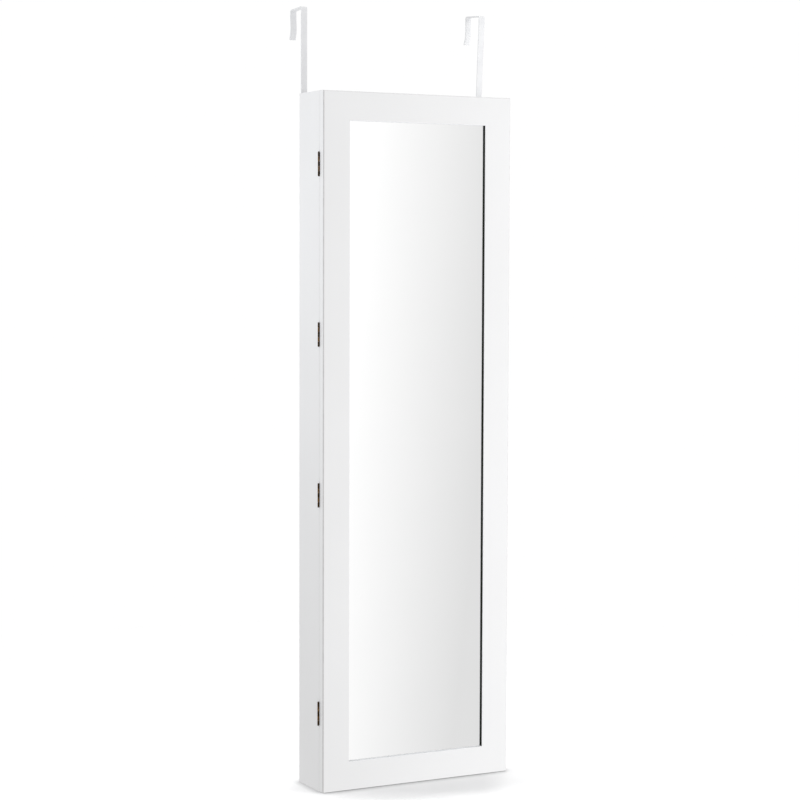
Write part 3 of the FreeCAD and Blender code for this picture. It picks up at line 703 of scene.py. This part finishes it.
studioValues = {
    "backdrop": 1.004,          # white paper behind and under the cabinet
    "fill": 0.85,               # the room's soft light, and how it leans along X and Z
    "fillRight": 0.2,
    "fillUp": -0.17,
    "fillBackRight": 0.6,       # how much of it is held back from behind on the right
    "paperBright": 1.102,       # what gloss sees: white paper that ends in soft grey
    "paperDim": 0.80,
    "paperEdge": (25.9, 29.7),  # degrees right of straight ahead, between the two
    "paperLean": 0.09,          # how far that edge leans with the height, and the level it leans about
    "paperLevel": -4.3,
    "ground": (-16, -55, 0.30),   # degrees between which the room's floor dims, and by how much
    "ceiling": (12, 50, 0.22),
    # broad soft steps round the room, in degrees and brightness
    "room": [(-180, -0.152), (-120, -0.05), (-75, -0.02), (-45, -0.26), (-15, -0.1), (0, -0.24),
             (12, -0.22), (20, 0.0), (40, 0.0), (60, 0.12), (80, 0.25), (120, 0.05), (180, 0.15)],
    "rampZero": 0.5,            # a ramp holds no negative tone, so its steps stand on this one
}


def roomGloss(tree, x, y, z, v):
    # The brightness that gloss and the mirror see, by the way they look.
    turn = maths(tree, "ARCTAN2", x, maths(tree, "MULTIPLY", y, -1.0))
    rise = maths(tree, "ARCSINE", z)
    lift = maths(tree, "ADD", rise, math.radians(-v["paperLevel"]))
    leaned = maths(tree, "MULTIPLY_ADD", lift, -v["paperLean"], turn)
    edge = [math.radians(angle) for angle in v["paperEdge"]]
    sheet = mapRange(tree, leaned, *edge, v["paperBright"], v["paperDim"])
    around = mapRange(tree, turn, -math.pi, math.pi, 0, 1)
    stops = [((angle + 180) / 360, v["rampZero"] + step) for angle, step in v["room"]]
    steps = maths(tree, "SUBTRACT", ramp(tree, around, stops), v["rampZero"])
    seen = maths(tree, "ADD", sheet, steps)
    for start, end, dimmed in (v["ground"], v["ceiling"]):
        dim = mapRange(tree, rise, math.radians(start), math.radians(end), 0, dimmed)
        seen = maths(tree, "SUBTRACT", seen, dim)
    return seen


def roomFill(tree, x, y, z, v):
    fill = maths(tree, "MULTIPLY_ADD", x, v["fillRight"], v["fill"])
    fill = maths(tree, "MULTIPLY_ADD", z, v["fillUp"], fill)
    behind = maths(tree, "MULTIPLY", maths(tree, "MAXIMUM", x, 0), maths(tree, "MAXIMUM", y, 0))
    return maths(tree, "MULTIPLY_ADD", behind, -v["fillBackRight"], fill)


def makeStudio(v):
    world = bpy.data.worlds.new("studio")
    scene.world = world
    world.use_nodes = True
    tree = world.node_tree
    paper = tree.nodes["Background"]
    paper.inputs["Color"].default_value = (1, 1, 1, 1)
    place = addNode(tree, "ShaderNodeTexCoord")
    split = addNode(tree, "ShaderNodeSeparateXYZ")
    tree.links.new(place.outputs["Generated"], split.inputs[0])
    rays = addNode(tree, "ShaderNodeLightPath")
    # inputs 2 and 3 of a number mix are its A and B
    glossy = addNode(tree, "ShaderNodeMix", data_type="FLOAT")
    tree.links.new(rays.outputs["Is Glossy Ray"], glossy.inputs["Factor"])
    tree.links.new(roomFill(tree, *split.outputs, v), glossy.inputs[2])
    tree.links.new(roomGloss(tree, *split.outputs, v), glossy.inputs[3])
    seen = addNode(tree, "ShaderNodeMix", data_type="FLOAT")
    tree.links.new(rays.outputs["Is Camera Ray"], seen.inputs["Factor"])
    tree.links.new(glossy.outputs[0], seen.inputs[2])
    seen.inputs[3].default_value = v["backdrop"]
    tree.links.new(seen.outputs[0], paper.inputs["Strength"])


lampValues = {
    # far above and behind: the light on the top and the soft shadow in front
    "skyPanel": {"place": (-0.25, 1.04, 12.0), "aim": (-0.25, 1.04, 0.0), "size": (2.9, 0.7),
                 "power": 412, "colour": (1, 1, 1)},
    # near the front's right half, which it lifts a little above the left
    "rightStrip": {"place": (0.40, -0.60, 0.62), "aim": (0.1, -0.05, 0.62), "size": (0.2, 2.2),
                   "power": 2.2, "colour": (0.99, 0.99, 1)},
    # level with the upper half of the hinge side, so that the side darkens downwards
    "leftSoftbox": {"place": (-1.03, 0.08, 1.1), "aim": (-0.18, 0.0, 1.1), "size": (0.4, 0.4),
                    "power": 2.03, "colour": (0.92, 0.95, 1)},
}


snootValues = {
    # a narrow beam on the right hook, above the cabinet's top
    "place": (0.9, -1.2, 1.78),
    "aim": (0.176, 0.06, 1.285),
    "power": 14.5,
    "spread": 6.6,            # degrees
    "blend": 0.6,
    "size": 0.03,
}


def placeLamp(name, data, v):
    lamp = bpy.data.objects.new(name, data)
    scene.collection.objects.link(lamp)
    place = Vector(v["place"])
    lamp.location = place
    lamp.rotation_euler = (Vector(v["aim"]) - place).to_track_quat("-Z", "Y").to_euler()
    lamp.visible_camera = False
    lamp.visible_glossy = False


def makeLamp(name, v):
    data = bpy.data.lights.new(name, "AREA")
    data.shape = "RECTANGLE"
    data.size, data.size_y = v["size"]
    data.energy = v["power"]
    data.color = v["colour"]
    placeLamp(name, data, v)


def makeSnoot(name, v):
    data = bpy.data.lights.new(name, "SPOT")
    data.energy = v["power"]
    data.spot_size = math.radians(v["spread"])
    data.spot_blend = v["blend"]
    data.shadow_soft_size = v["size"]
    placeLamp(name, data, v)


makeFloor(floorValues)
makeStudio(studioValues)
for name, values in lampValues.items():
    makeLamp(name, values)
makeSnoot("hookSnoot", snootValues)
scene.view_settings.view_transform = "Standard"
scene.view_settings.look = "None"
print("stage and light set")
